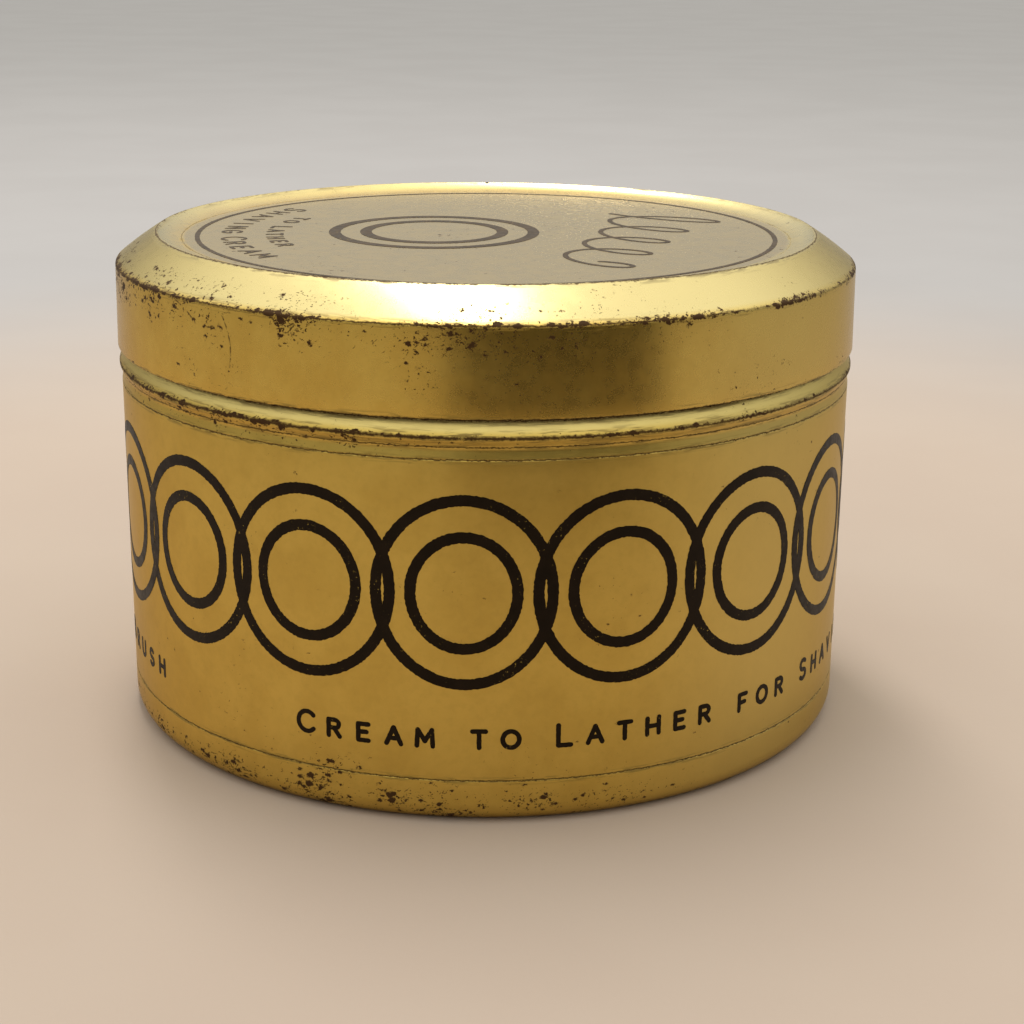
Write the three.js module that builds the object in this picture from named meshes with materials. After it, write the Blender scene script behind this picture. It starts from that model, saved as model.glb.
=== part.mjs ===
// A round slip-lid tin for shaving cream, lid on. Millimetres, +Z up.
// Origin: on the surface the tin stands on, under the centre of its base.
// Every piece is a solid of revolution about Z, so each is a short profile of
// (radius, height) points that starts and ends on the axis.
import * as THREE from "three";

const SEGMENTS = 64;
const DEGREE = Math.PI / 180;

// Sheet metal and clearances
const SHEET = 0.5; // wall of both drawn shells
const TOUCH_GAP = 0.3; // left between pieces that rest on each other

// Tin body
const BODY_RADIUS = 45.8;
const HEEL_RADIUS = 3.6; // rounding from the wall into the foot
const FOOT_OUTER = BODY_RADIUS - HEEL_RADIUS;
const FOOT_INNER = 35.5;
const FOOT_SLOPE = 1.2; // run of the step from the foot up to the recess
const RECESS = 0.6; // centre of the base stands this far off the ground
const WALL_TOP = 42.4; // scored line where the plain wall ends
const WAIST_RADIUS = 45.55; // shallow groove between the wall and the bead
const WAIST_HEIGHT = 43.7;
const BEAD_RADIUS = 46.05;
const BEAD_HEIGHT = 44.9;
const SHOULDER_HEIGHT = 46.6; // top of the bright slope, at the foot of the neck
const NECK_RADIUS = 45.1;
const CURL_RADIUS = 0.75; // inward curl of the rim
const RIM_TOP = 54.95;

// Lid shell
const LID_BOTTOM = 46.9;
const SKIRT_BOTTOM_RADIUS = 46.15;
const SKIRT_TOP_RADIUS = 46.0;
const EDGE_HEIGHT = 56.9; // where the skirt meets the chamfer
const EDGE_ROUND = 0.55;
const RIM_RADIUS = 40.9;
const TOTAL_HEIGHT = 60.5;
const RIM_FLAT = 0.35;
const CHAMFER_CROWN = 0.14; // the chamfer bulges outward by this much
const PANEL_RADIUS = 37.9;
const PANEL_HEIGHT = 59.5;

// Pieces inside
const LINER_THICKNESS = 1.15;
const LINER_RADIUS = 45.2;
const CREAM_TOP = 45.7;
const DISC_THICKNESS = 0.4;
const DISC_RADIUS = 43.5;

const point = (radius, height) => new THREE.Vector2(radius, height);

// Points on an arc about (radius, height), from one angle to another.
function arc(radius, height, size, fromDegrees, toDegrees, steps) {
  const points = [];
  for (let i = 0; i <= steps; i += 1) {
    const angle = (fromDegrees + ((toDegrees - fromDegrees) * i) / steps) * DEGREE;
    points.push(point(radius + size * Math.cos(angle), height + size * Math.sin(angle)));
  }
  return points;
}

// A revolved solid standing on +Z, with its metal to the left of the profile.
function revolve(profile) {
  return new THREE.LatheGeometry(profile, SEGMENTS).rotateX(Math.PI / 2);
}

function tinBodyProfile() {
  const heel = arc(FOOT_OUTER, HEEL_RADIUS, HEEL_RADIUS, -90, 0, 6);
  const curlCentre = point(NECK_RADIUS - CURL_RADIUS, RIM_TOP - CURL_RADIUS);
  const curl = arc(curlCentre.x, curlCentre.y, CURL_RADIUS, 0, 300, 8);
  const innerHeel = arc(FOOT_OUTER, HEEL_RADIUS, HEEL_RADIUS - SHEET, 0, -90, 4);
  return [
    point(0, RECESS),
    point(FOOT_INNER - FOOT_SLOPE, RECESS),
    point(FOOT_INNER, 0),
    ...heel,
    point(BODY_RADIUS, WALL_TOP),
    point(WAIST_RADIUS, WAIST_HEIGHT),
    point(BEAD_RADIUS, BEAD_HEIGHT - SHEET / 2),
    point(BEAD_RADIUS, BEAD_HEIGHT),
    point(NECK_RADIUS, SHOULDER_HEIGHT),
    ...curl,
    point(NECK_RADIUS - SHEET, SHOULDER_HEIGHT),
    point(BEAD_RADIUS - SHEET, BEAD_HEIGHT - SHEET / 2),
    point(WAIST_RADIUS - SHEET, WAIST_HEIGHT),
    point(BODY_RADIUS - SHEET, WALL_TOP),
    ...innerHeel,
    point(FOOT_INNER + SHEET, SHEET),
    point(FOOT_INNER - FOOT_SLOPE, RECESS + SHEET),
    point(0, RECESS + SHEET),
  ];
}

// The chamfer from the skirt's edge up to the rim, pushed out into a shallow arc.
function chamfer(bottom, top, crown, steps) {
  const along = top.clone().sub(bottom);
  const outward = point(along.y, -along.x).normalize();
  const points = [];
  for (let i = 0; i <= steps; i += 1) {
    const t = i / steps;
    const bulge = outward.clone().multiplyScalar(crown * 4 * t * (1 - t));
    points.push(bottom.clone().addScaledVector(along, t).add(bulge));
  }
  return points;
}

function lidShellProfile() {
  const rimUnderside = TOTAL_HEIGHT - SHEET;
  const underside = chamfer(
    point(SKIRT_TOP_RADIUS - SHEET, EDGE_HEIGHT - SHEET / 2),
    point(RIM_RADIUS, rimUnderside),
    CHAMFER_CROWN,
    3,
  );
  const outside = chamfer(
    point(SKIRT_TOP_RADIUS - EDGE_ROUND / 2, EDGE_HEIGHT + EDGE_ROUND / 2),
    point(RIM_RADIUS + RIM_FLAT, TOTAL_HEIGHT - RIM_FLAT / 2),
    CHAMFER_CROWN,
    4,
  );
  return [
    point(0, PANEL_HEIGHT - SHEET),
    point(PANEL_RADIUS, PANEL_HEIGHT - SHEET),
    ...underside.reverse(),
    point(SKIRT_BOTTOM_RADIUS - SHEET, LID_BOTTOM),
    point(SKIRT_BOTTOM_RADIUS, LID_BOTTOM),
    point(SKIRT_TOP_RADIUS, EDGE_HEIGHT - EDGE_ROUND),
    ...outside,
    point(RIM_RADIUS, TOTAL_HEIGHT),
    point(RIM_RADIUS - RIM_FLAT, TOTAL_HEIGHT - RIM_FLAT / 2),
    point(PANEL_RADIUS, PANEL_HEIGHT),
    point(0, PANEL_HEIGHT),
  ];
}

function creamProfile() {
  const clear = SHEET + TOUCH_GAP;
  const bottom = RECESS + clear;
  return [
    point(0, bottom),
    point(FOOT_INNER, bottom),
    ...arc(FOOT_OUTER, HEEL_RADIUS, HEEL_RADIUS - clear, -80, 0, 4),
    point(BODY_RADIUS - clear, WALL_TOP),
    point(WAIST_RADIUS - clear, WAIST_HEIGHT),
    point(NECK_RADIUS - clear, CREAM_TOP),
    point(0, CREAM_TOP),
  ];
}

function plateProfile(radius, bottom, thickness) {
  return [
    point(0, bottom),
    point(radius, bottom),
    point(radius, bottom + thickness),
    point(0, bottom + thickness),
  ];
}

const goldLacquer = { color: 0xc79b4a, roughness: 0.34, metalness: 0.95 };
const pulpboard = { color: 0xd9cbb0, roughness: 0.9, metalness: 0 };
const waxedPaper = { color: 0xf1ece0, roughness: 0.6, metalness: 0 };
const softCream = { color: 0xf6f3ea, roughness: 0.45, metalness: 0 };

const linerBottom = RIM_TOP + TOUCH_GAP;
const pieces = [
  ["tin_body", tinBodyProfile(), goldLacquer],
  ["shaving_cream", creamProfile(), softCream],
  ["cover_disc", plateProfile(DISC_RADIUS, CREAM_TOP + TOUCH_GAP, DISC_THICKNESS), waxedPaper],
  ["lid_liner", plateProfile(LINER_RADIUS, linerBottom, LINER_THICKNESS), pulpboard],
  ["lid_shell", lidShellProfile(), goldLacquer],
];

const tin = new THREE.Group();
for (const [name, profile, finish] of pieces) {
  const mesh = new THREE.Mesh(revolve(profile), new THREE.MeshStandardMaterial(finish));
  mesh.name = name;
  tin.add(mesh);
}

export default tin;
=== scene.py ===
import math

import bpy
import numpy as np
from mathutils import Matrix, Vector, geometry


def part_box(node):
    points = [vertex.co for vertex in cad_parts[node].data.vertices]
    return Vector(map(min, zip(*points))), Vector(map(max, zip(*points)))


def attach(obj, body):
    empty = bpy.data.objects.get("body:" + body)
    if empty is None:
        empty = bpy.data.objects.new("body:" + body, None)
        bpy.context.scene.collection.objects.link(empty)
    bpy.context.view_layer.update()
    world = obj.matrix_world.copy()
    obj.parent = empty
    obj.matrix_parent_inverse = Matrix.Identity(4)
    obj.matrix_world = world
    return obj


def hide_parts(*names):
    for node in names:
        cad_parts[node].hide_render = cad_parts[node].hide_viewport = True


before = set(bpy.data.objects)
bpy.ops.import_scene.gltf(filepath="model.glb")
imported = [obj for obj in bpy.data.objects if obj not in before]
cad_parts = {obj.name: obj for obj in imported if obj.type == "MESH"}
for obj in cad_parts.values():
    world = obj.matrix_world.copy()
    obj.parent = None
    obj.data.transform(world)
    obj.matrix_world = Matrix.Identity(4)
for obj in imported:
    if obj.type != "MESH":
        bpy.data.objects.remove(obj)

# A worn gold-lacquered tin of shaving cream. Lengths are millimetres unless a line says
# otherwise: +Z up the tin's axis, Z = 0 where it stands, and the front faces -Y.
MM = 0.001
RING_STEPS = 288  # sides of every turned piece
RANDOM = np.random.default_rng(7)

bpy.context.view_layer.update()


def size_of(node):
    """Outer radius, lowest and highest point of a CAD node, in millimetres."""
    low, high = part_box(node)
    return high.x / MM, low.z / MM, high.z / MM


BEAD_RADIUS, _, RIM_TOP = size_of("tin_body")
SKIRT_RADIUS, LID_BOTTOM, LID_TOP = size_of("lid_shell")
LINER_RADIUS, LINER_BOTTOM, LINER_TOP = size_of("lid_liner")
DISC_RADIUS, DISC_BOTTOM, DISC_TOP = size_of("cover_disc")
CREAM_RADIUS, CREAM_BOTTOM, CREAM_TOP = size_of("shaving_cream")

SHEET = 0.5
TOUCH_GAP = 0.3  # left between pieces that rest on each other
BODY_RADIUS = BEAD_RADIUS - 0.25
NECK_RADIUS = BEAD_RADIUS - 0.95
CURL = 0.75  # radius of the rim's inward curl
HEEL = 3.6  # rounding from the wall into the foot
FOOT_RADIUS = 35.5  # inner edge of the ring the tin stands on
FOOT_SLOPE = 1.2
RECESS = 0.6  # the middle of the base is raised by this much
HEEL_LINE = 5.3  # scored line round the wall above the heel
WALL_LINE = LID_BOTTOM - 4.5  # scored line at the top of the plain wall
WAIST = LID_BOTTOM - 3.2  # shallow groove between the wall and the bead
WAIST_RADIUS = BODY_RADIUS - 0.25
BEAD = LID_BOTTOM - 2.0
SHOULDER = LID_BOTTOM - 0.3  # top of the slope above the bead

EDGE = LID_TOP - 3.6  # where the skirt meets the chamfer
EDGE_RADIUS = SKIRT_RADIUS - 0.15
RIM_RADIUS = 40.9
PANEL_RADIUS = 37.9
PANEL = LID_TOP - 1.0

INK_THICKNESS = 0.03
INK_DEPTH = 0.05  # how far the film reaches into the sheet under it


# ---------------------------------------------------------------- camera, lights, floor

CAMERA_BACK = 5.38  # lid radii from the axis
CAMERA_UP = 0.899  # lid radii above the lid's edge
CAMERA_TURN = 0.0142  # radians to the right
CAMERA_DIP = 0.296  # radians below level
CAMERA_ROLL = 0.0094
CAMERA_LENS = 69.3

CARD_EDGES = ((184, 8), (250, 98))  # distance from the axis and height, low edge then high
CARD_AZIMUTHS = (-10, 47)  # degrees to the right of the front
FRONT_WALL, BACK_WALL, CEILING = 0.27, 0.385, 1.45  # brightness of the room
FLOOR_HALF = 30000.0


def make_camera():
    camera = bpy.data.objects.new("camera", bpy.data.cameras.new("camera"))
    bpy.context.scene.collection.objects.link(camera)
    place = Vector((0, -CAMERA_BACK * EDGE_RADIUS, EDGE + CAMERA_UP * EDGE_RADIUS)) * MM
    turn = Matrix.Rotation(-CAMERA_TURN, 4, "Z")
    dip = Matrix.Rotation(math.pi / 2 - CAMERA_DIP, 4, "X")
    roll = Matrix.Rotation(CAMERA_ROLL, 4, "Z")
    camera.matrix_world = Matrix.Translation(place) @ turn @ dip @ roll
    camera.data.lens = CAMERA_LENS
    camera.data.clip_start = 0.005
    bpy.context.scene.camera = camera


def area_light(name, place, target, size, power, colour=(1, 1, 1)):
    """A rectangular softbox, in metres and watts, which the camera doesn't see."""
    data = bpy.data.lights.new(name, "AREA")
    data.shape = "RECTANGLE"
    data.size, data.size_y = size
    data.energy = power
    data.color = colour
    light = bpy.data.objects.new(name, data)
    light.location = place
    aim = Vector(target) - Vector(place)
    light.rotation_euler = aim.to_track_quat("-Z", "Y").to_euler()
    light.visible_camera = False
    bpy.context.scene.collection.objects.link(light)


def dark_card():
    """A black card in front of the tin, seen only as the dark band in the skirt's gloss."""
    corners = []
    for radius, height in CARD_EDGES:
        for azimuth in CARD_AZIMUTHS:
            turn = math.radians(azimuth)
            corners.append((radius * math.sin(turn), -radius * math.cos(turn), height))
    card = add_mesh("dark_card", corners, [(0, 1, 3, 2)], matte_card("card"))
    card.visible_camera = card.visible_diffuse = card.visible_shadow = False


def make_world():
    """A pale room, brightest overhead, its walls dimmest towards the front."""
    world = bpy.data.worlds.new("studio")
    bpy.context.scene.world = world
    world.use_nodes = True
    tree = world.node_tree
    split = tree.nodes.new("ShaderNodeSeparateXYZ")
    tree.links.new(tree.nodes.new("ShaderNodeTexCoord").outputs["Generated"], split.inputs[0])

    def grade(axis, start, end, low, high):
        node = tree.nodes.new("ShaderNodeMapRange")
        node.interpolation_type = "SMOOTHSTEP"
        for name, value in (("From Min", start), ("From Max", end), ("To Max", high)):
            node.inputs[name].default_value = value
        if isinstance(low, float):
            node.inputs["To Min"].default_value = low
        else:
            tree.links.new(low, node.inputs["To Min"])
        tree.links.new(split.outputs[axis], node.inputs["Value"])
        return node.outputs["Result"]

    walls = grade("Y", -1.0, 0.7, FRONT_WALL, BACK_WALL)
    room = grade("Z", 0.0, 0.85, walls, CEILING)
    tree.nodes["Background"].inputs["Color"].default_value = (0.96, 0.99, 0.955, 1)
    tree.links.new(room, tree.nodes["Background"].inputs["Strength"])


def make_lights():
    area_light("overhead", (-0.085, 0.26, 0.75), (-0.07, 0.20, 0), (0.13, 0.60), 3.6)
    make_world()
    bpy.context.scene.view_settings.view_transform = "Standard"
    dark_card()


# ---------------------------------------------------------------- materials

class Graph:
    """One material's shader nodes. Sizes are millimetres on the object."""

    def __init__(self, name, **settings):
        self.material = bpy.data.materials.new(name)
        self.material.use_nodes = True
        self.tree = self.material.node_tree
        self.shader = self.tree.nodes["Principled BSDF"]
        for socket, value in settings.items():
            self.shader.inputs[socket.replace("_", " ")].default_value = value
        place = self.node("ShaderNodeTexCoord").outputs["Object"]
        self.place = self.vector("SCALE", place, scale=1 / MM)
        split = self.node("ShaderNodeSeparateXYZ", Vector=self.place)
        self.x, self.y, self.z = (split.outputs[axis] for axis in "XYZ")
        flat = self.vector("MULTIPLY", self.place, (1, 1, 0))
        self.radius = self.vector("LENGTH", flat, output="Value")
        self.outward = self.vector("NORMALIZE", flat)

    def node(self, kind, _set=None, **inputs):
        node = self.tree.nodes.new(kind)
        for key, value in (_set or {}).items():
            setattr(node, key, value)
        for key, value in inputs.items():
            self.feed(node.inputs[key.replace("_", " ")], value)
        return node

    def feed(self, socket, value):
        if isinstance(value, bpy.types.NodeSocket):
            self.tree.links.new(value, socket)
        else:
            socket.default_value = value

    def vector(self, operation, a, b=None, scale=None, output="Vector"):
        node = self.node("ShaderNodeVectorMath", {"operation": operation})
        self.feed(node.inputs[0], a)
        if b is not None:
            self.feed(node.inputs[1], b)
        if scale is not None:
            self.feed(node.inputs["Scale"], scale)
        return node.outputs[output]

    def math(self, operation, a, b=0.0):
        node = self.node("ShaderNodeMath", {"operation": operation})
        self.feed(node.inputs[0], a)
        self.feed(node.inputs[1], b)
        return node.outputs[0]

    def add(self, *values):
        total = values[0]
        for value in values[1:]:
            total = self.math("ADD", total, value)
        return total

    def times(self, *values):
        total = values[0]
        for value in values[1:]:
            total = self.math("MULTIPLY", total, value)
        return total

    def most(self, *values):
        total = values[0]
        for value in values[1:]:
            total = self.math("MAXIMUM", total, value)
        return total

    def fade(self, value, start, end, low=0.0, high=1.0):
        """low where value is at or before start, high at or past end, smooth between."""
        node = self.node(
            "ShaderNodeMapRange", {"interpolation_type": "SMOOTHSTEP", "clamp": True},
            Value=value, From_Min=start, From_Max=end, To_Min=low, To_Max=high,
        )
        return node.outputs["Result"]

    def band(self, value, centre, half):
        """1 at centre, falling to 0 at half a width either side."""
        away = self.math("ABSOLUTE", self.math("SUBTRACT", value, centre))
        return self.fade(away, half, 0.0)

    def noise(self, size, detail=2.0, rough=0.5, place=None, offset=(0, 0, 0)):
        spot = self.vector("ADD", self.place if place is None else place, offset)
        return self.node(
            "ShaderNodeTexNoise", Vector=spot, Scale=1 / size, Detail=detail, Roughness=rough
        ).outputs["Fac"]

    def stretched(self, across, along, turn, offset=(0, 0, 0)):
        """Noise drawn out into streaks, across wide and along long, turned by Euler angles."""
        node = self.node(
            "ShaderNodeMapping", {"vector_type": "TEXTURE"},
            Vector=self.place, Rotation=turn, Scale=(across, across, along),
        )
        return self.noise(1.0, 2.0, 0.5, node.outputs[0], offset)

    def mix(self, share, a, b):
        node = self.node("ShaderNodeMix", {"data_type": "RGBA"})
        self.feed(node.inputs["Factor"], share)
        for socket, value in (("A", a), ("B", b)):
            value = (*value, 1) if isinstance(value, tuple) else value
            self.feed(next(s for s in node.inputs if s.name == socket and s.type == "RGBA"), value)
        return next(s for s in node.outputs if s.type == "RGBA")

    def bump(self, height, depth, under=None):
        """Relief from a 0 to 1 height, depth millimetres deep."""
        node = self.node("ShaderNodeBump", Height=height, Distance=depth * MM, Strength=1.0)
        if under is not None:
            self.feed(node.inputs["Normal"], under)
        return node.outputs["Normal"]

    def shade(self, **inputs):
        for key, value in inputs.items():
            self.feed(self.shader.inputs[key.replace("_", " ")], value)
        return self.material


# The dark of bare tinplate, also used for the painted shadow lines under the lid's skirt.
BARE_AND_SHADOW_DARK = (0.050, 0.023, 0.008)
RUST = (0.10, 0.045, 0.013)


def facing(g, azimuth, least):
    """1 on the side facing azimuth, in degrees to the right of the front, and least opposite."""
    side = (math.sin(math.radians(azimuth)), -math.cos(math.radians(azimuth)), 0)
    return g.fade(g.vector("DOT_PRODUCT", g.outward, side, output="Value"), -0.3, 0.85, least, 1.0)


def chips(g, size, cover, place, offset):
    """Spots about size across, more and larger as cover goes from 0 to 1. Returns the spots
    and a softer, wider version of them."""
    spot = g.vector("ADD", g.vector("SCALE", place, scale=1 / size), offset)
    cells = g.node("ShaderNodeTexVoronoi", {"feature": "F1"}, Vector=spot, Scale=1.0)
    luck = g.node("ShaderNodeSeparateColor", Color=cells.outputs["Color"]).outputs["Red"]
    reach = g.times(g.most(g.math("SUBTRACT", g.add(luck, cover), 1.0), 0.0), 0.62)
    beyond = g.math("SUBTRACT", cells.outputs["Distance"], reach)
    return g.fade(beyond, 0.02, -0.06), g.times(g.fade(beyond, 0.12, 0.0), g.fade(reach, 0.0, 0.15))


def streaks(g, place, turn, wide, long):
    """place squeezed so that spots of size 1 come out as fine scratches."""
    return g.node(
        "ShaderNodeMapping", {"vector_type": "TEXTURE"},
        Vector=place, Rotation=turn, Scale=(wide, wide, long),
    ).outputs[0]


def wear_cover(g, specks, bands, scuffs):
    """How far the lacquer has gone, from 0 to 1."""
    measure = {"z": g.z, "r": g.radius}
    broad = g.fade(g.noise(12.0, 3.0, 0.6, offset=(31, 7, 3)), 0.40, 0.66, 0.25, 1.0)
    cover = g.times(specks, broad)
    for kind, centre, half, weight, azimuth in bands:
        band = g.band(measure[kind], centre, half)
        cover = g.most(cover, g.times(band, weight, facing(g, azimuth, 0.3)))
    for place, radius, weight in scuffs:
        away = g.vector("DISTANCE", g.place, place, output="Value")
        cover = g.most(cover, g.times(g.fade(away, radius, radius * 0.2), weight))
    return g.times(cover, g.fade(g.noise(8.0, 4.0, 0.65), 0.36, 0.60, 0.45, 1.0))


def shaken(g):
    """Places on the object pushed about by fine noise: far, for chips, and a little, for lines."""
    jitter = g.node("ShaderNodeTexNoise", Vector=g.place, Scale=1.9, Detail=3.0, Roughness=0.7)
    jitter = g.vector("SUBTRACT", jitter.outputs["Color"], (0.5, 0.5, 0.5))
    ragged = g.vector("ADD", g.place, g.vector("SCALE", jitter, scale=1.1))
    ragged = g.vector("MULTIPLY", ragged, (1.0, 1.0, 1.7))
    return ragged, g.vector("ADD", g.place, g.vector("SCALE", jitter, scale=0.50))


def worn_spots(g, cover, ragged, wavy):
    """What chips, flecks and two sets of scratches lay bare, and the rusty halo round them."""
    chip, halo = chips(g, 1.15, cover, ragged, (5, 11, 2))
    fleck, _ = chips(g, 0.50, cover, ragged, (1, 4, 9))
    slanting = streaks(g, wavy, (1.45, 0.1, 0.9), 0.24, 2.2)
    upright = streaks(g, wavy, (0.5, -0.6, 1.9), 0.21, 2.6)
    level, _ = chips(g, 1.0, g.times(cover, 0.8), slanting, (3, 3, 3))
    steep, _ = chips(g, 1.0, g.times(cover, 0.7), upright, (9, 4, 6))
    bare = g.most(chip, fleck, g.times(g.most(level, steep), 0.9))
    return bare, g.most(halo, g.times(cover, 0.15))


def worn_and_shadow_lines(g, bare, wavy, lines, arcs):
    """Adds the broken dark lines and the curved scratches to what is bare. Some of the lines are
    painted shadow, not worn metal.
    """
    measure = {"z": g.z, "r": g.radius}
    split = g.node("ShaderNodeSeparateXYZ", Vector=wavy)
    flat = g.vector("MULTIPLY", wavy, (1, 1, 0))
    wavering = {"z": split.outputs["Z"], "r": g.vector("LENGTH", flat, output="Value")}
    drawn_out = g.vector("MULTIPLY", g.place, (0.22, 0.22, 3.2))
    rubbed = g.noise(1.0, 3.0, 0.65, drawn_out, (2, 2, 8))
    broken = g.noise(1.2, 5.0, 0.75, offset=(2, 2, 8))
    for kind, centre, half, azimuth in lines:
        side = facing(g, azimuth, 0.0)
        line = g.band(wavering[kind], centre, half)
        near = g.band(measure[kind], centre, half * 4)
        kept = g.fade(g.add(broken, g.times(side, 0.16)), 0.46, 0.58, 0.45, 1.0)
        smear = g.fade(g.add(rubbed, g.times(side, 0.06)), 0.55, 0.64)
        bare = g.most(bare, g.times(line, kept))
        bare = g.most(bare, g.times(near, smear, 0.65))
    for centre, radius, place, reach in arcs:
        ring = g.band(g.vector("DISTANCE", g.place, centre, output="Value"), radius, 0.16)
        here = g.vector("DISTANCE", g.place, place, output="Value")
        here = g.fade(here, reach, reach * 0.8)
        bare = g.most(bare, g.times(ring, here, g.fade(broken, 0.44, 0.54)))
    return bare


def lacquer_colour(g, tone, deep_tone, pale, dull):
    """Clouded gold, a little paler on the right as a painted reflection, before any marks are
    added.
    """
    cloud = g.fade(g.noise(7.0, 4.0, 0.6, offset=(3, 9, 1)), 0.35, 0.65)
    mottle = g.fade(g.noise(1.1, 4.0, 0.65, offset=(12, 3, 5)), 0.42, 0.68, 0.0, 0.18)
    colour = g.mix(cloud, tone, deep_tone)
    colour = g.mix(mottle, colour, tuple(0.76 * c for c in deep_tone))
    # Painted reflection: the side facing +X is painted paler and greener.
    reflection_tone = (0.95 * tone[0], 1.07 * tone[1], 1.8 * tone[2])
    right = g.vector("DOT_PRODUCT", g.outward, (1, 0, 0), output="Value")
    colour = g.mix(g.fade(right, 0.25, 0.85, 0.0, 0.8), colour, reflection_tone)
    # Painted highlight: above the given height, off the panel, the gold is painted paler.
    height, highlight_tone = pale
    outer = g.fade(g.radius, PANEL_RADIUS, RIM_RADIUS + 0.5)
    painted_highlight = g.times(g.fade(g.z, height, height + 0.8), outer)
    colour = g.mix(painted_highlight, colour, highlight_tone)
    if dull:
        grey = (0.73 * tone[0], 0.74 * tone[1], 1.2 * tone[2])
        colour = g.mix(g.fade(g.radius, dull + 0.3, dull - 0.3), colour, grey)
    return colour


def gold(name, tones, rough, coat, wear_and_shadow, pale, dull=None):
    """Satin gold lacquer over tinplate, worn through in places. tones are its two golds.
    pale is (height, tone): above that height, off the panel, the gold is painted paler, a painted
    highlight.
    dull is the radius inside which it is a shade greyer."""
    g = Graph(name, Coat_IOR=1.5, Coat_Roughness=rough)
    cover = wear_cover(g, wear_and_shadow["specks"], wear_and_shadow["bands"], wear_and_shadow["scuffs"])
    ragged, wavy = shaken(g)
    bare, halo = worn_spots(g, cover, ragged, wavy)
    bare = worn_and_shadow_lines(g, bare, wavy, wear_and_shadow["lines"], wear_and_shadow["arcs"])
    colour = lacquer_colour(g, *tones, pale, dull)
    colour = g.mix(g.times(halo, 0.40), colour, RUST)
    top = g.fade(g.radius, RIM_RADIUS + 0.5, RIM_RADIUS - 0.5)
    satin = g.noise(1.6, 4.0, 0.6, offset=(8, 1, 4))
    satin = g.fade(satin, 0.3, 0.7, rough - 0.02, rough + 0.02)
    relief = g.bump(g.noise(16.0, 1.0, 0.4, offset=(6, 6, 6)), 0.08)
    return g.shade(
        Base_Color=g.mix(bare, colour, BARE_AND_SHADOW_DARK),
        Roughness=g.add(satin, g.times(bare, 0.30)),
        Metallic=g.fade(bare, 0.0, 1.0, 1.0, 0.1),
        Specular_IOR_Level=g.fade(bare, 0.0, 1.0, 0.5, 0.12),
        Specular_Tint=g.mix(top, (0.72, 0.60, 0.40), (1.0, 1.0, 1.0)),
        Coat_Weight=g.fade(bare, 0.0, 1.0, coat, 0.0),
        Normal=g.bump(g.noise(0.22, 2.0, 0.5), 0.004, relief),
    )


def ink(name, tone, under):
    """Dark brown printing ink, with pinholes to the lacquer under it where it is worn."""
    g = Graph(name, Specular_IOR_Level=0.15, Specular_Tint=(1.0, 0.80, 0.55, 1.0))
    thin = g.fade(g.noise(0.35, 4.0, 0.7), 0.63, 0.70)
    worn = g.fade(g.noise(6.0, 3.0, 0.6, offset=(4, 2, 7)), 0.48, 0.66)
    hole = g.times(thin, worn)
    colour = g.mix(g.fade(g.noise(2.0, 3.0, 0.6), 0.3, 0.7), tone, tuple(1.8 * c for c in tone))
    return g.shade(
        Base_Color=g.mix(hole, colour, under),
        Metallic=g.times(hole, 0.9),
        Roughness=g.fade(g.noise(0.9, 3.0, 0.6), 0.3, 0.7, 0.40, 0.52),
        Normal=g.bump(g.noise(0.35, 3.0, 0.6), 0.006),
    )


def pulpboard(name):
    """Grey-buff board, its fibres short and pale."""
    g = Graph(name, Metallic=0.0)
    fibre = g.fade(g.stretched(0.12, 2.2, (1.2, 0.3, 0.6)), 0.55, 0.7)
    fleck = g.fade(g.noise(0.4, 2.0, 0.5, offset=(7, 3, 1)), 0.66, 0.72)
    cloud = g.fade(g.noise(6.0, 3.0, 0.6), 0.35, 0.65)
    colour = g.mix(cloud, (0.58, 0.50, 0.37), (0.50, 0.42, 0.30))
    colour = g.mix(fibre, colour, (0.70, 0.62, 0.48))
    colour = g.mix(fleck, colour, (0.26, 0.20, 0.13))
    pressed = g.band(g.radius, NECK_RADIUS - CURL, 0.7)
    return g.shade(
        Base_Color=g.mix(g.times(pressed, 0.35), colour, (0.40, 0.32, 0.2)),
        Roughness=g.fade(g.noise(1.5, 3.0, 0.6), 0.3, 0.7, 0.82, 0.95),
        Normal=g.bump(g.noise(0.3, 4.0, 0.7), 0.05),
    )


def waxed_paper(name):
    """Thin waxed paper, creased, darker where it has soaked, and painted darker along its creases
    as painted shade.
    """
    g = Graph(name, Metallic=0.0, IOR=1.44)
    soaked = g.fade(g.noise(24.0, 3.0, 0.5, offset=(9, 2, 2)), 0.35, 0.70)
    fibre = g.fade(g.stretched(0.10, 1.8, (0.2, 1.3, 0.8)), 0.5, 0.75)
    edges = {"feature": "DISTANCE_TO_EDGE"}
    folds = g.node("ShaderNodeTexVoronoi", edges, Vector=g.place, Scale=1 / 17)
    crease = g.fade(folds.outputs["Distance"], 0.025, 0.0)
    crease = g.times(crease, g.fade(g.noise(9.0, offset=(4, 8, 1)), 0.42, 0.60))
    colour = g.mix(soaked, (0.71, 0.65, 0.53), (0.62, 0.555, 0.43))
    # Painted shade: the creases are painted darker.
    colour = g.mix(g.times(crease, 0.35), colour, (0.48, 0.42, 0.31))
    return g.shade(
        Base_Color=g.mix(g.times(fibre, 0.5), colour, (0.80, 0.76, 0.67)),
        Roughness=g.fade(soaked, 0.0, 1.0, 0.55, 0.35),
        Normal=g.bump(g.noise(0.45, 4.0, 0.6), 0.02, g.bump(crease, 0.10)),
    )


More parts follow.
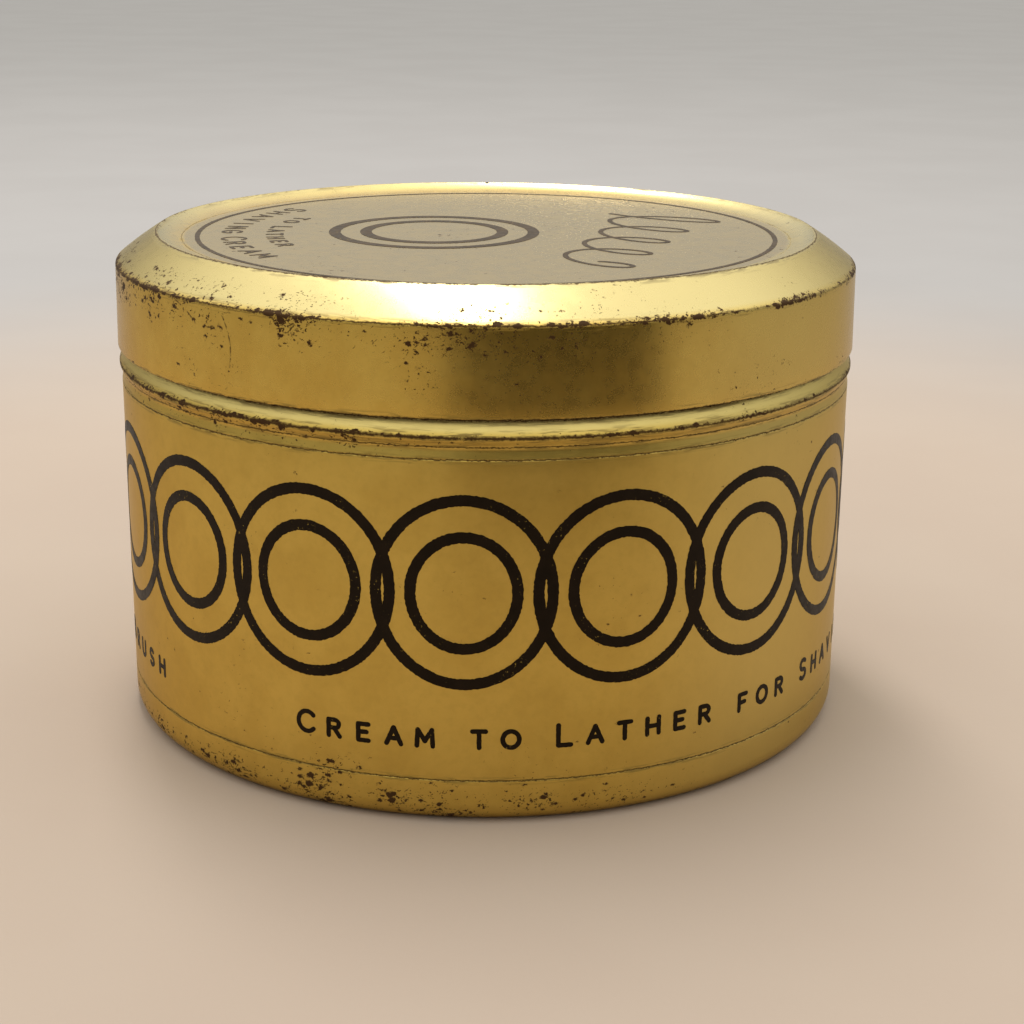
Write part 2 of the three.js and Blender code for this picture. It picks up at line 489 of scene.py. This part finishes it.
def soft_cream(name):
    """Thick off-white cream with a soft gloss."""
    g = Graph(name, Metallic=0.0, Subsurface_Weight=0.25, Subsurface_Scale=0.002)
    tint = g.fade(g.noise(8.0, 2.0, 0.5), 0.3, 0.7)
    return g.shade(
        Base_Color=g.mix(tint, (0.90, 0.88, 0.82), (0.86, 0.83, 0.75)),
        Roughness=g.fade(g.noise(2.5, 3.0, 0.6), 0.3, 0.7, 0.32, 0.48),
        Normal=g.bump(g.noise(1.4, 4.0, 0.55), 0.08),
    )


def matte_card(name):
    g = Graph(name, Metallic=0.0, Roughness=0.95)
    return g.shade(Base_Color=g.mix(g.noise(20.0), (0.010, 0.009, 0.008), (0.016, 0.014, 0.012)))


def floor_paper(name):
    """Plain matte paper, pinkish near the tin and greyer further off."""
    g = Graph(name, Metallic=0.0)
    tone = g.fade(g.noise(60.0, 3.0, 0.5), 0.3, 0.7)
    near = g.mix(tone, (0.408, 0.312, 0.244), (0.422, 0.327, 0.257))
    far = g.mix(tone, (0.335, 0.306, 0.292), (0.347, 0.318, 0.304))
    return g.shade(
        Base_Color=g.mix(g.fade(g.radius, 130.0, 330.0), near, far),
        Roughness=0.9,
        Normal=g.bump(g.noise(0.7, 3.0, 0.6), 0.02),
    )


# ---------------------------------------------------------------- turned pieces

def add_mesh(name, points, faces, material, smooth_angle=35):
    """A mesh object from points in millimetres."""
    mesh = bpy.data.meshes.new(name)
    mesh.from_pydata((np.asarray(points, float) * MM).tolist(), [], faces)
    mesh.validate()
    mesh.shade_smooth()
    mesh.set_sharp_from_angle(angle=math.radians(smooth_angle))
    mesh.materials.append(material)
    piece = bpy.data.objects.new(name, mesh)
    bpy.context.scene.collection.objects.link(piece)
    return piece


def rounded(corners, turn_per_step=7.0):
    """The profile through (radius, height, fillet) corners, with each fillet drawn as an arc."""
    line = []
    for i, (radius, height, size) in enumerate(corners):
        here = Vector((radius, height))
        if size == 0 or i in (0, len(corners) - 1):
            line.append(here)
            continue
        back = Vector(corners[i - 1][:2]) - here
        ahead = Vector(corners[i + 1][:2]) - here
        half = back.angle(ahead) / 2
        cut = min(size / math.tan(half), 0.48 * back.length, 0.48 * ahead.length)
        start, end = here + back.normalized() * cut, here + ahead.normalized() * cut
        to_centre = (back.normalized() + ahead.normalized()).normalized()
        centre = here + to_centre * (cut / math.cos(half))
        sweep = math.pi - 2 * half
        steps = max(2, math.ceil(math.degrees(sweep) / turn_per_step))
        side = 1 if (start - centre).cross(end - centre) > 0 else -1
        for k in range(steps + 1):
            turn = Matrix.Rotation(side * sweep * k / steps, 2)
            line.append(centre + turn @ (start - centre))
    return line


def arc(radius, height, size, start, end, steps):
    """Corners along an arc, angles in degrees."""
    angles = np.radians(np.linspace(start, end, steps + 1))
    return [(radius + size * math.cos(a), height + size * math.sin(a), 0) for a in angles]


def crowned(start, end, crown, steps=6):
    """Corners from start to end, pushed out to the left by up to crown."""
    a, b = Vector(start), Vector(end)
    left = Vector((a.y - b.y, b.x - a.x)).normalized()
    shares = [k / steps for k in range(1, steps)]
    return [(*(a.lerp(b, t) + left * crown * 4 * t * (1 - t)), 0) for t in shares]


def divided(line, longest):
    """The line with no straight piece longer than longest."""
    fine = [line[0]]
    for a, b in zip(line, line[1:]):
        steps = max(1, math.ceil((b - a).length / longest))
        fine += [a.lerp(b, k / steps) for k in range(1, steps + 1)]
    return fine


def turned(name, line, material, warp=None):
    """A solid of revolution whose line starts and ends on the axis. warp moves its points."""
    line = divided(line, 1.6)
    angles = np.linspace(0, 2 * math.pi, RING_STEPS, endpoint=False)
    inner = line[1:-1]
    rings = [
        np.stack([p.x * np.cos(angles), p.x * np.sin(angles), np.full(RING_STEPS, p.y)], 1)
        for p in inner
    ]
    points = np.concatenate([*rings, [[0, 0, line[0].y]], [[0, 0, line[-1].y]]])
    first, last = len(points) - 2, len(points) - 1
    faces = []
    for k in range(RING_STEPS):
        n = (k + 1) % RING_STEPS
        faces.append((first, n, k))
        for ring in range(len(inner) - 1):
            low, high = ring * RING_STEPS, (ring + 1) * RING_STEPS
            faces.append((low + k, low + n, high + n, high + k))
        top = (len(inner) - 1) * RING_STEPS
        faces.append((top + k, top + n, last))
    if warp:
        points = np.stack(warp(*points.T), 1)
    return add_mesh(name, points, faces, material)


def groove(radius, height, depth=0.06, half=0.13):
    """A scored line in the wall, going up."""
    return [
        (radius, height - half, 0.03),
        (radius - depth, height, 0.04),
        (radius, height + half, 0.03),
    ]


def tin_line():
    """The lower shell: up the outside from the base, round the curl and down the inside."""
    outside = [
        (0, RECESS, 0),
        (FOOT_RADIUS - FOOT_SLOPE, RECESS, 1.0),
        (FOOT_RADIUS, 0, 1.0),
        (BODY_RADIUS, 0, HEEL),
        *groove(BODY_RADIUS, HEEL_LINE),
        *groove(BODY_RADIUS, WALL_LINE),
        (WAIST_RADIUS, WAIST, 1.2),
        (BEAD_RADIUS, BEAD - 0.35, 0.5),
        (BEAD_RADIUS, BEAD, 0.3),
        (NECK_RADIUS, SHOULDER, 0.6),
    ]
    curl = arc(NECK_RADIUS - CURL, RIM_TOP - CURL, CURL, 0, 300, 20)
    inside = [
        (NECK_RADIUS - SHEET, RIM_TOP - 2.9, 1.0),
        (NECK_RADIUS - SHEET, SHOULDER, 0.8),
        (BEAD_RADIUS - SHEET, BEAD - 0.2, 0.5),
        (WAIST_RADIUS - SHEET, WAIST, 1.2),
        (BODY_RADIUS - SHEET, WALL_LINE, 1.0),
        (BODY_RADIUS - SHEET, SHEET, HEEL - SHEET),
        (FOOT_RADIUS + SHEET, SHEET, 0.8),
        (FOOT_RADIUS - FOOT_SLOPE, RECESS + SHEET, 0.8),
        (0, RECESS + SHEET, 0),
    ]
    return rounded(outside + curl + inside)


def lid_line():
    """The lid: across the underside, down inside the skirt, up the outside and over the rim."""
    chamfer_foot, chamfer_top = (EDGE_RADIUS, EDGE), (RIM_RADIUS, LID_TOP)
    under_foot = (EDGE_RADIUS - SHEET, EDGE - SHEET / 2)
    under_top = (RIM_RADIUS, LID_TOP - SHEET)
    return rounded([
        (0, PANEL - SHEET, 0),
        (PANEL_RADIUS, PANEL - SHEET, 1.2),
        (*under_top, 0.3),
        *crowned(under_foot, under_top, -0.12)[::-1],
        (*under_foot, 0.5),
        (SKIRT_RADIUS - SHEET, LID_BOTTOM, 0.12),
        (SKIRT_RADIUS, LID_BOTTOM, 0.16),
        (*chamfer_foot, 0.55),
        *crowned(chamfer_foot, chamfer_top, -0.12),
        (*chamfer_top, 0.45),
        *crowned(chamfer_top, (PANEL_RADIUS, PANEL), 0.25, 10),
        (PANEL_RADIUS, PANEL, 0),
        (0, PANEL, 0),
    ])


def liner_line():
    """The wad, with the ring that the tin's rim has pressed into it."""
    pressed = NECK_RADIUS - CURL
    return rounded([
        (0, LINER_BOTTOM + 0.06, 0),
        (pressed - 1.1, LINER_BOTTOM, 0.6),
        (pressed - 0.5, LINER_BOTTOM + 0.16, 0.5),
        (pressed + 0.3, LINER_BOTTOM + 0.16, 0.4),
        (LINER_RADIUS, LINER_BOTTOM, 0.25),
        (LINER_RADIUS, LINER_TOP, 0.3),
        (0, LINER_TOP, 0),
    ])


def cream_line():
    """The fill, clear of the shell all round."""
    heel = HEEL - SHEET - TOUCH_GAP
    floor_height = CREAM_BOTTOM + 0.56
    return rounded([
        (0, floor_height, 0),
        (FOOT_RADIUS, floor_height, 0.8),
        (CREAM_RADIUS, CREAM_BOTTOM, heel),
        (CREAM_RADIUS, WALL_LINE, 0.6),
        (CREAM_RADIUS - 0.25, WAIST, 0.8),
        (NECK_RADIUS - 0.8, CREAM_TOP, 0.9),
        (0, CREAM_TOP, 0),
    ])


def swirl(x, y, z):
    """A shallow spiral left in the cream by the filling nozzle, only ever downward."""
    radius, angle = np.hypot(x, y), np.arctan2(y, x)
    near_top = np.clip((z - CREAM_TOP + 1.5) / 1.5, 0, 1) * np.clip((43 - radius) / 6, 0, 1)
    ridge = 0.5 - 0.5 * np.cos(radius / 1.35 - angle)
    return x, y, z - near_top * (0.55 * ridge + 0.25 * np.sin(3 * angle + 1) ** 2)


def crumpled(x, y, z):
    """The disc's paper, a little wavy, its rim not quite round."""
    radius, angle = np.hypot(x, y), np.arctan2(y, x)
    wave = 0.05 * np.sin(3 * angle + 0.7) + 0.04 * np.sin(5 * angle - radius / 9)
    wave = wave * np.clip(radius / DISC_RADIUS, 0, 1) ** 2
    trim = 1 - 0.004 * (1 + np.sin(7 * angle) * 0.5 + np.sin(13 * angle + 2) * 0.5)
    return x * trim, y * trim, z + wave


def disc_line():
    """The paper disc, thinner than the room it has."""
    middle, half = (DISC_BOTTOM + DISC_TOP) / 2, 0.09
    return rounded([
        (0, middle - half, 0),
        (DISC_RADIUS, middle - half, 0.05),
        (DISC_RADIUS, middle + half, 0.05),
        (0, middle + half, 0),
    ])


# ---------------------------------------------------------------- print

def oval(centre, radii, start=0.0, end=360.0, step=0.5):
    """Points along an ellipse, about step apart, angles in degrees."""
    length = math.radians(abs(end - start)) * max(radii)
    count = max(8, math.ceil(length / step))
    angles = np.radians(np.linspace(start, end, count + 1))
    x, y = centre[0] + radii[0] * np.cos(angles), centre[1] + radii[1] * np.sin(angles)
    return np.stack([x, y], 1)


def even(path, step):
    """The path with points no further apart than step."""
    fine = [path[0]]
    for a, b in zip(path, path[1:]):
        count = max(1, math.ceil(np.linalg.norm(b - a) / step))
        fine += [a + (b - a) * k / count for k in range(1, count + 1)]
    return np.array(fine)


def stroke(path, width, rough=0.03):
    """The quads and end caps of an inked stroke along a path, its edges slightly ragged."""
    path = even(np.asarray(path, float), 0.4)
    closed = np.linalg.norm(path[0] - path[-1]) < 1e-6
    if closed:
        path = path[:-1]
        along = np.roll(path, -1, 0) - np.roll(path, 1, 0)
    else:
        along = np.gradient(path, axis=0)
    along /= np.linalg.norm(along, axis=1)[:, None]
    across = np.stack([-along[:, 1], along[:, 0]], 1)
    wide = width / 2 + RANDOM.uniform(-rough, rough, (2, len(path)))
    left, right = path + across * wide[0][:, None], path - across * wide[1][:, None]
    count = len(path)
    quads = [
        [right[i], right[(i + 1) % count], left[(i + 1) % count], left[i]]
        for i in range(count if closed else count - 1)
    ]
    if closed:
        return quads
    for end, side, (first, last) in ((0, 1, (left, right)), (-1, -1, (right, left))):
        out, over = -side * along[end], side * across[end]
        turns = [
            path[end] + width / 2 * (out * math.cos(t) + over * math.sin(t))
            for t in np.radians((54, 18, -18, -54))
        ]
        quads.append([first[end], *turns, last[end]])
    return quads


def union(shapes):
    """One flat triangle mesh covering every shape once."""
    points, faces = [], []
    for shape in shapes:
        faces.append(range(len(points), len(points) + len(shape)))
        points += [Vector(p) for p in shape]
    found = geometry.delaunay_2d_cdt(points, [], [list(f) for f in faces], 0, 1e-3, True)
    flat, triangles, owners = found[0], found[2], found[5]
    kept = [t for t, owner in zip(triangles, owners) if owner]
    return np.array([tuple(p) for p in flat]), kept


def film(name, shapes, place, material):
    """A thin closed film of ink over the flat shapes. place puts flat points on the piece."""
    flat, triangles = union(shapes)
    used = sorted({i for t in triangles for i in t})
    index = {old: new for new, old in enumerate(used)}
    x, y = flat[used].T
    count = len(used)
    points = np.concatenate([place(x, y, INK_THICKNESS), place(x, y, -INK_DEPTH)])
    top = [tuple(index[i] for i in t) for t in triangles]
    edges = {(t[i], t[(i + 1) % 3]) for t in top for i in range(3)}
    rim = [(a, b) for a, b in edges if (b, a) not in edges]
    faces = top + [(c + count, b + count, a + count) for a, b, c in top]
    faces += [(b, a, a + count, b + count) for a, b in sorted(rim)]
    return add_mesh(name, points, faces, material, 40)


def flattened(shapes):
    """Wall print laid out on a flat ring, higher nearer its centre, so that it joins up with
    itself. Its points are (distance round the wall to the right of the front, height)."""
    laid_out = []
    for shape in shapes:
        around, up = np.asarray(shape).T
        radius, angle = FLAT_RADIUS - up, around / BODY_RADIUS - math.pi / 2
        laid_out.append(np.stack([radius * np.cos(angle), radius * np.sin(angle)], 1))
    return laid_out


def on_wall(x, y, height):
    """Folds the flat ring up round the wall."""
    radius = np.hypot(x, y)
    outward = (BODY_RADIUS + height) / radius
    return np.stack([x * outward, y * outward, FLAT_RADIUS - radius], 1)


def on_panel(x, y, height):
    """Flat points as they lie on the lid's panel."""
    return np.stack([x, y, np.full(len(x), PANEL + height)], 1)


RING_COUNT = 16
RING_PITCH = 2 * math.pi * BODY_RADIUS / RING_COUNT
RING_HEIGHT = 27.4  # of their centres
RING_RADII = (9.78, 10.55)  # across and up
INNER_RADII = (5.9, 6.4)
RING_INK = 1.27
FLAT_RADIUS = BODY_RADIUS + RING_HEIGHT
PRINT_TURN = -2.3  # how far right of the front the middle of the nearest ring is


def ring_band():
    """Overlapping rings right round the wall, each with a smaller one inside it."""
    shapes = []
    for k in range(RING_COUNT):
        centre = (k * RING_PITCH + PRINT_TURN, RING_HEIGHT)
        shapes += stroke(oval(centre, RING_RADII), RING_INK, 0.045)
        shapes += stroke(oval(centre, INNER_RADII), RING_INK, 0.045)
    return flattened(shapes)


# Plain capitals one unit high: the width, then strokes, each a list of points or
# ("arc", centre, radii, start, end).
LETTERS = {
    "A": (0.86, [[(0, 0), (0.43, 1), (0.86, 0)], [(0.17, 0.34), (0.69, 0.34)]]),
    "B": (0.68, [[(0.4, 0.53), (0, 0.53), (0, 1), (0.4, 1)], [(0, 0.53), (0, 0), (0.42, 0)],
                 ("arc", (0.4, 0.765), (0.22, 0.235), -90, 90),
                 ("arc", (0.42, 0.265), (0.26, 0.265), -90, 90), [(0.4, 0.53), (0.42, 0.53)]]),
    "C": (0.82, [("arc", (0.46, 0.5), (0.46, 0.5), 42, 318)]),
    "E": (0.62, [[(0.62, 1), (0, 1), (0, 0), (0.62, 0)], [(0, 0.52), (0.5, 0.52)]]),
    "F": (0.6, [[(0.6, 1), (0, 1), (0, 0)], [(0, 0.5), (0.48, 0.5)]]),
    "G": (0.86, [("arc", (0.46, 0.5), (0.46, 0.5), 42, 345), [(0.5, 0.42), (0.9, 0.42)]]),
    "H": (0.76, [[(0, 0), (0, 1)], [(0.76, 0), (0.76, 1)], [(0, 0.5), (0.76, 0.5)]]),
    "I": (0.0, [[(0, 0), (0, 1)]]),
    "L": (0.6, [[(0, 1), (0, 0), (0.6, 0)]]),
    "M": (0.92, [[(0, 0), (0.05, 1), (0.46, 0.3), (0.87, 1), (0.92, 0)]]),
    "N": (0.78, [[(0, 0), (0, 1), (0.78, 0), (0.78, 1)]]),
    "O": (0.94, [("arc", (0.47, 0.5), (0.47, 0.5), 0, 360)]),
    "R": (0.7, [[(0.4, 0.5), (0, 0.5)], [(0.4, 1), (0, 1), (0, 0)],
                ("arc", (0.4, 0.75), (0.26, 0.25), -90, 90), [(0.34, 0.5), (0.7, 0)]]),
    "S": (0.64, [("arc", (0.32, 0.745), (0.3, 0.255), 35, 270),
                 ("arc", (0.32, 0.245), (0.32, 0.245), 90, -145)]),
    "T": (0.76, [[(0, 1), (0.76, 1)], [(0.38, 1), (0.38, 0)]]),
    "U": (0.74, [[(0, 1), (0, 0.36)], ("arc", (0.37, 0.36), (0.37, 0.36), 180, 360),
                 [(0.74, 0.36), (0.74, 1)]]),
    "V": (0.84, [[(0, 1), (0.42, 0), (0.84, 1)]]),
    "Y": (0.8, [[(0, 1), (0.4, 0.5), (0.8, 1)], [(0.4, 0.5), (0.4, 0)]]),
}


def letter(character, height):
    """The strokes of a capital, standing on v = 0 and centred on u = 0."""
    width, strokes = LETTERS[character]
    lines = []
    for line in strokes:
        if line[0] == "arc":
            pieces = [oval(*line[1:], 0.12)]
        else:
            pieces = [np.array(ends, float) for ends in zip(line, line[1:])]
        lines += [(piece - (width / 2, 0)) * height for piece in pieces]
    return lines


def written(words, height, advance, gap, ink_width, bend):
    """Words in small capitals, the long words' first letters larger. bend carries a flat line
    to its place."""
    shapes, at = [], 0.0
    for word in words.split():
        for i, character in enumerate(word):
            tall = height * (1.24 if i == 0 and len(word) > 3 else 1.0)
            for line in letter(character.upper(), tall):
                line = even(line, 0.3) + (at, 0)
                shapes += stroke(bend(*line.T), ink_width, 0.02)
            at += advance
        at += gap
    return shapes


PHRASE = "Cream to Lather for Shaving by Brush"
TEXT_BASE = 9.35  # height of the foot of the line
TEXT_START = -20.8  # where it starts, round the wall from the front


def side_text():
    """The phrase round the foot of the wall, in front and again behind."""
    shapes = []
    for turn in (0, 1):
        start = TEXT_START + turn * math.pi * BODY_RADIUS

        def bend(u, v, start=start):
            return np.stack([u + start, v + TEXT_BASE], 1)

        shapes += written(PHRASE, 1.95, 3.55, 2.5, 0.55, bend)
    return flattened(shapes)


LID_MIDDLE = (-6.6, 0.6)
LID_RINGS = (  # centre, radius and width of line
    ((0, 0), 36.0, 0.6),
    (LID_MIDDLE, 12.5, 1.45),
    (LID_MIDDLE, 8.6, 1.45),
)
LID_LINES = (  # words, radius, height of capitals and advance
    ("Shaving Cream", 33.0, 2.3, 3.5),
    ("To Lather", 27.4, 1.8, 2.9),
)


def lid_rings():
    """The border of the panel and two rings left of its middle."""
    shapes = []
    for centre, radius, width in LID_RINGS:
        shapes += stroke(oval(centre, (radius, radius)), width)
    return shapes


def lid_text():
    """Two lines along the left of the border, read towards the front."""
    shapes = []
    for words, radius, height, advance in LID_LINES:
        letters = len(words.replace(" ", ""))
        length = (letters - 1) * advance + 2.2

        def bend(u, v, radius=radius, length=length):
            angle = math.pi + (u - length / 2) / radius
            return np.stack([(radius - v) * np.cos(angle), (radius - v) * np.sin(angle)], 1)

        shapes += written(words, height, advance, 2.2, 0.42, bend)
    return shapes


def flourish():
    """A plain looping line where a name would go, its top towards +X."""
    turn = np.linspace(0.1, 4.7, 180)
    tall = 4.4 + 5.8 * np.exp(-1.5 * turn)
    up = 24.5 - 2.7 * turn - tall * np.cos(2 * math.pi * turn)
    along = -21.0 + 9.7 * turn + 3.7 * np.sin(2 * math.pi * turn) + 0.32 * (up - 14)
    return stroke(np.stack([up, -along], 1), 0.65)


# ---------------------------------------------------------------- assembly

def dress(piece, body, slot, *nodes):
    """Says which body a piece rides and hides the CAD nodes it stands in for. slot is not used."""
    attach(piece, body)
    if nodes:
        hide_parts(*nodes)


# Wear and painted shadow on each shell. specks is how chipped it is all over. bands chip in
# patches: (measure, centre, half width, weight, worst azimuth). lines are broken dark lines:
# most are worn, and those at the lid's bottom edge and on the shoulder under it are painted
# shadow: (measure, centre, half width, worst azimuth). scuffs are small chipped patches:
# (place, radius, weight). arcs are curved scratches where a sphere cuts the surface: (centre,
# radius, place, reach). The measure is z for height or r for distance from the axis.
TIN_GILT = (0.630, 0.426, 0.080), (0.575, 0.380, 0.066)
# Above the bead the body's gold is painted paler, a painted highlight.
TIN_PAINTED_HIGHLIGHT = BEAD + 0.1, (0.660, 0.500, 0.160)
TIN_INK = (0.0050, 0.0026, 0.0014)
TIN_WEAR_AND_SHADOW = {
    "specks": 0.38,
    "bands": [
        ("z", BEAD, 0.9, 1.3, -50),
        ("z", BEAD, 0.7, 1.25, 50),
        ("z", 2.2, 4.0, 1.12, -58),
        ("z", BEAD - 0.8, 2.8, 0.8, -60),
        ("z", RIM_TOP, 1.2, 0.8, 0),
    ],
    "lines": [
        ("z", HEEL_LINE, 0.16, -20),
        ("z", WALL_LINE, 0.17, -10),
        ("z", WAIST + 0.1, 0.14, 10),
        ("z", BEAD, 0.28, -55),
        ("z", BEAD - 0.1, 0.24, 45),
        # Painted shadow: a dark line round the shoulder, where the lid's skirt shades the gap.
        ("z", SHOULDER, 0.20, 0),
    ],
    "scuffs": [((-17, -41, 2.5), 9, 1.10), ((-4, -45, 1.5), 7, 1.05)],
    "arcs": [],
}

LID_GILT = (0.690, 0.450, 0.078), (0.640, 0.400, 0.062)
# Above where the skirt meets the chamfer, the lid's gold is painted paler, a painted highlight.
LID_PAINTED_HIGHLIGHT = EDGE - 0.1, (0.670, 0.530, 0.225)
LID_INK = (0.034, 0.019, 0.008)
LID_WEAR_AND_SHADOW = {
    "specks": 0.48,
    "bands": [
        ("z", EDGE, 0.9, 1.5, -62),
        ("z", EDGE - 1.0, 5.5, 1.0, -55),
        ("z", EDGE + 1.4, 2.2, 0.70, -50),
        ("z", EDGE, 0.9, 1.35, 60),
        ("r", RIM_RADIUS, 0.5, 0.9, -70),
        ("z", LID_BOTTOM, 0.6, 0.7, -30),
    ],
    "lines": [
        ("z", EDGE, 0.22, -60),
        ("r", RIM_RADIUS + 0.1, 0.26, -90),
        ("r", RIM_RADIUS + 0.1, 0.2, 80),
        ("r", PANEL_RADIUS, 0.12, -75),
        # Painted shadow: a dark line along the skirt's bottom edge, where the gap under it is in
        # shade.
        ("z", LID_BOTTOM, 0.20, -20),
    ],
    "scuffs": [
        ((-29.6, -35.2, 54.5), 4.6, 1.2),
        ((-27.2, -36.4, 50.5), 3.4, 0.95),
        ((-7, -45.5, 52), 6, 0.7),
    ],
    "arcs": [
        ((-34.5, -34.0, 52.0), 7.2, (-28.0, -36.5, 53.0), 3.4),
        ((-36.0, -28.0, 47.5), 9.4, (-33.0, -32.0, 57.0), 3.2),
    ],
}


def make_tin():
    lacquer = gold("body_lacquer", TIN_GILT, 0.36, 0.42, TIN_WEAR_AND_SHADOW, TIN_PAINTED_HIGHLIGHT)
    dress(turned("tin_shell", tin_line(), lacquer), "tin", "gold_lacquer_body", "tin_body")
    dark = ink("body_ink", TIN_INK, TIN_GILT[0])
    dress(film("wall_rings", ring_band(), on_wall, dark), "tin", "gold_lacquer_body")
    dress(film("wall_text", side_text(), on_wall, dark), "tin", "gold_lacquer_body")
    cream = soft_cream("cream")
    dress(turned("cream_fill", cream_line(), cream, swirl), "tin", "cream", "shaving_cream")
    paper = waxed_paper("waxed_paper")
    dress(turned("paper_disc", disc_line(), paper, crumpled), "disc", "waxed_paper", "cover_disc")


def make_lid():
    dull = PANEL_RADIUS - 0.3
    lacquer = gold("lid_lacquer", LID_GILT, 0.28, 0.46, LID_WEAR_AND_SHADOW, LID_PAINTED_HIGHLIGHT, dull)
    dress(turned("lid", lid_line(), lacquer), "lid", "gold_lacquer_lid", "lid_shell")
    dark = ink("lid_ink", LID_INK, LID_GILT[0])
    dress(film("lid_rings", lid_rings(), on_panel, dark), "lid", "gold_lacquer_lid")
    dress(film("lid_text", lid_text(), on_panel, dark), "lid", "gold_lacquer_lid")
    dress(film("lid_flourish", flourish(), on_panel, dark), "lid", "gold_lacquer_lid")
    board = pulpboard("pulpboard")
    dress(turned("sealing_wad", liner_line(), board), "liner", "pulpboard", "lid_liner")


def make_floor():
    half = FLOOR_HALF
    corners = [(-half, -half, 0), (half, -half, 0), (half, half, 0), (-half, half, 0)]
    floor = add_mesh("floor", corners, [(0, 1, 2, 3)], floor_paper("floor_paper"))


make_camera()
make_lights()
make_floor()
make_tin()
make_lid()
